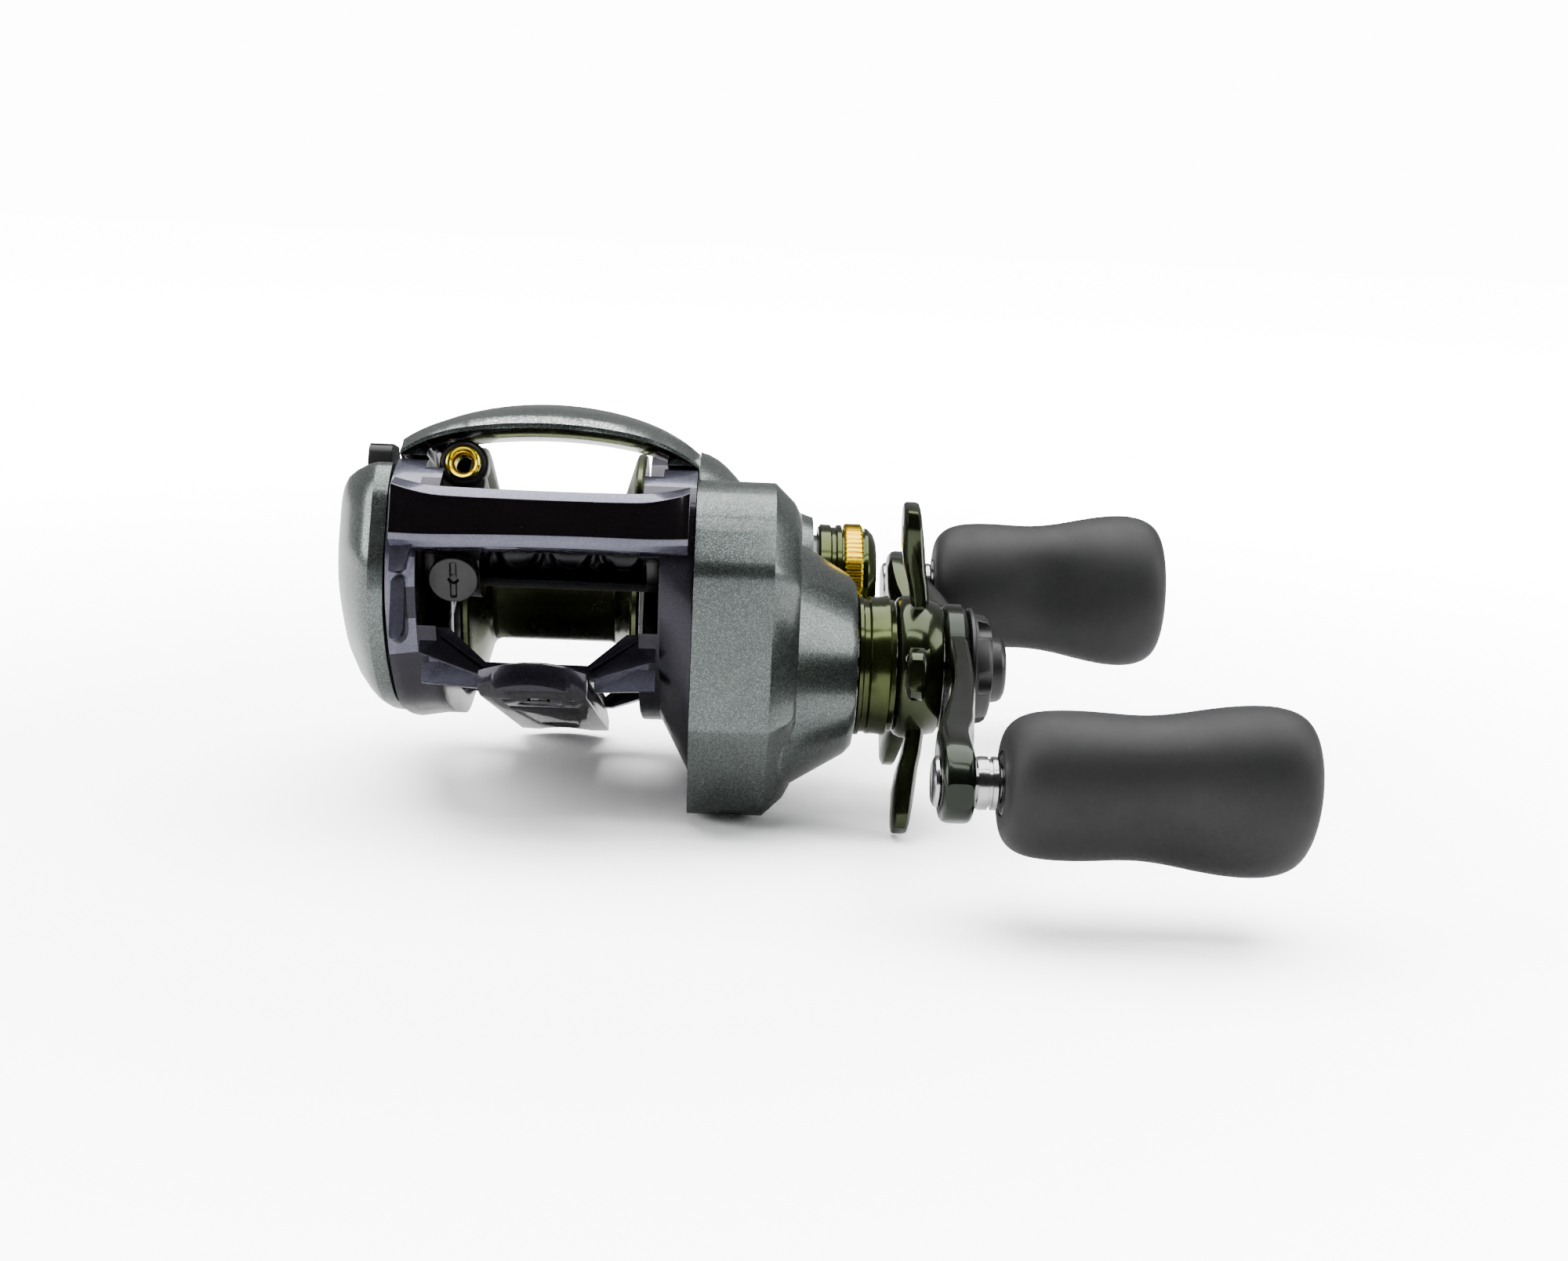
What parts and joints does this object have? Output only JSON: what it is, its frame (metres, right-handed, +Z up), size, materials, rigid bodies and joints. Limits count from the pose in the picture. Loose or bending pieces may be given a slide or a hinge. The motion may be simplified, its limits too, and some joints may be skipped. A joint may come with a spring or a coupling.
{
  "type": "low-profile baitcasting fishing reel",
  "caption": "Low-profile baitcasting reel with a sliding line guide, geared spool, star drag, double-ended crank with soft knobs and a foot for a rod's seat.",
  "frame": {"origin": "middle of the flat underside of the reel foot, where it lies in a rod's seat", "axes": "+X along the spool's axis towards the crank, +Y to the rear, +Z up from the table; the reel stands nose-up, so its foot is pitched 18.7 degrees about X and rests on its rear end"},
  "size_m": [0.1159, 0.1024, 0.0528],
  "materials": {
    "pearl_grey": "pearl grey metallic paint with fine flake, satin clear coat",
    "frame_violet": "dark violet-black gloss paint with lavender glints on the bevels",
    "olive_anodised": "turned aluminium, dark olive anodising, glossy",
    "crank_green": "forged aluminium, dark green-grey anodising, satin",
    "gold": "bright gold plating",
    "black_plastic": "moulded black plastic, fine grain",
    "rubber": "matte soft-touch moulded rubber",
    "steel": "machined stainless steel",
    "gear_brass": "machined brass",
    "drag_washer": "dry woven friction sheet"
  },
  "bodies": {
    "reel_body": {"frame": "frame_violet", "reel_foot": "black_plastic", "foot_screw_front": "steel", "foot_screw_rear": "steel", "top_hood": "pearl_grey", "gear_cover": "pearl_grey", "set_plate": "steel", "worm_guard": "black_plastic", "worm_bush_palm": "gear_brass", "worm_bush_gear": "gear_brass", "guide_rod": "steel", "idle_gear_pin": "steel", "spool_bearing": "steel", "pinion_bearing": "steel", "one_way_clutch": "steel", "tension_shim": "steel"},
    "palm_side": {"palm_cover": "pearl_grey", "palm_bearing": "steel", "brake_ring": "steel"},
    "palm_lever": {"palm_release_lever": "black_plastic"},
    "brake_dial": {"brake_dial": "black_plastic"},
    "spool": {"spool": "olive_anodised", "spool_shaft": "steel", "brake_drum": "black_plastic"},
    "yoke": {"pinion_yoke": "black_plastic"},
    "pinion": {"pinion_gear": "gear_brass"},
    "thumb_bar": {"thumb_bar": "black_plastic"},
    "crank": {"drive_shaft": "steel", "drive_gear": "gear_brass", "wind_drive_gear": "gear_brass", "drag_washer_inner": "drag_washer", "key_washer": "steel", "drag_washer_outer": "drag_washer", "drag_pressure_plate": "steel", "clutch_sleeve": "steel", "drag_hub": "olive_anodised", "handle_nut": "steel", "handle_arm": "crank_green", "nut_cover": "black_plastic", "spindle_front": "steel", "spindle_rear": "steel"},
    "star": {"star_wheel": "crank_green"},
    "idle": {"idle_gear": "black_plastic"},
    "worm": {"worm_shaft": "steel", "worm_gear": "black_plastic"},
    "carriage": {"line_guide": "black_plastic", "line_guide_ring": "gold", "pawl_cap": "black_plastic"},
    "pawl": {"pawl": "gear_brass"},
    "front_knob": {"knob_front": "rubber", "knob_bearing_front": "black_plastic"},
    "rear_knob": {"knob_rear": "rubber", "knob_bearing_rear": "black_plastic"},
    "tension_cap": {"tension_cap": "olive_anodised", "tension_cap_ring": "gold"}
  },
  "joints": [
    {"name": "crank_turn", "type": "hinge", "parent": "reel_body", "child": "crank", "pos_m": [0.051, -0.006, 0.00974], "axis": [1, 0, 0], "continuous": true},
    {"name": "star_turn", "type": "hinge", "parent": "crank", "child": "star", "pos_m": [0.047, -0.006, 0.00974], "axis": [1, 0, 0], "range_deg": [-360, 360]},
    {"name": "front_knob_spin", "type": "hinge", "parent": "crank", "child": "front_knob", "pos_m": [0.07, -0.04786, 0.00637], "axis": [1, 0, 0], "continuous": true},
    {"name": "rear_knob_spin", "type": "hinge", "parent": "crank", "child": "rear_knob", "pos_m": [0.07, 0.03587, 0.0131], "axis": [1, 0, 0], "continuous": true},
    {"name": "spool_turn", "type": "hinge", "parent": "reel_body", "child": "spool", "pos_m": [0, 0.01121, 0.01753], "axis": [1, 0, 0], "continuous": true},
    {"name": "idle_turn", "type": "hinge", "parent": "reel_body", "child": "idle", "pos_m": [0.02, -0.00968, 0.01712], "axis": [1, 0, 0], "continuous": true},
    {"name": "worm_turn", "type": "hinge", "parent": "reel_body", "child": "worm", "pos_m": [0, -0.01325, 0.02428], "axis": [1, 0, 0], "continuous": true},
    {"name": "thumb_bar_press", "type": "slide", "parent": "reel_body", "child": "thumb_bar", "axis": [0, -0.3206, -0.9472], "range_m": [0, 0.006]},
    {"name": "clutch_slide", "type": "slide", "parent": "reel_body", "child": "yoke", "axis": [1, 0, 0], "range_m": [0, 0.002]},
    {"name": "pinion_turn", "type": "hinge", "parent": "yoke", "child": "pinion", "pos_m": [0.025, 0.01121, 0.01753], "axis": [1, 0, 0], "continuous": true},
    {"name": "line_guide_slide", "type": "slide", "parent": "reel_body", "child": "carriage", "axis": [1, 0, 0], "range_m": [0, 0.02]},
    {"name": "pawl_swivel", "type": "hinge", "parent": "carriage", "child": "pawl", "pos_m": [-0.0103, -0.01325, 0.02428], "axis": [0, -0.9603, -0.279], "range_deg": [-25, 25]},
    {"name": "tension_cap_turn", "type": "hinge", "parent": "reel_body", "child": "tension_cap", "pos_m": [0.039, 0.01121, 0.01753], "axis": [1, 0, 0], "range_deg": [-360, 360]},
    {"name": "palm_cover_release", "type": "slide", "parent": "reel_body", "child": "palm_side", "axis": [-1, 0, 0], "range_m": [0, 0.02]},
    {"name": "palm_lever_slide", "type": "slide", "parent": "palm_side", "child": "palm_lever", "axis": [0, 0.9472, -0.3206], "range_m": [0, 0.003]},
    {"name": "brake_dial_turn", "type": "hinge", "parent": "palm_side", "child": "brake_dial", "pos_m": [-0.027, 0.01308, 0.01056], "axis": [1, 0, 0], "range_deg": [0, 300]}
  ],
  "couplings": [
    {"joint": "spool_turn", "follows": "crank_turn", "ratio": -7.4},
    {"joint": "pinion_turn", "follows": "crank_turn", "ratio": -7.4},
    {"joint": "idle_turn", "follows": "crank_turn", "ratio": -1.5385},
    {"joint": "worm_turn", "follows": "crank_turn", "ratio": 1.0526},
    {"joint": "clutch_slide", "follows": "thumb_bar_press", "ratio": 0.33333}
  ]
}
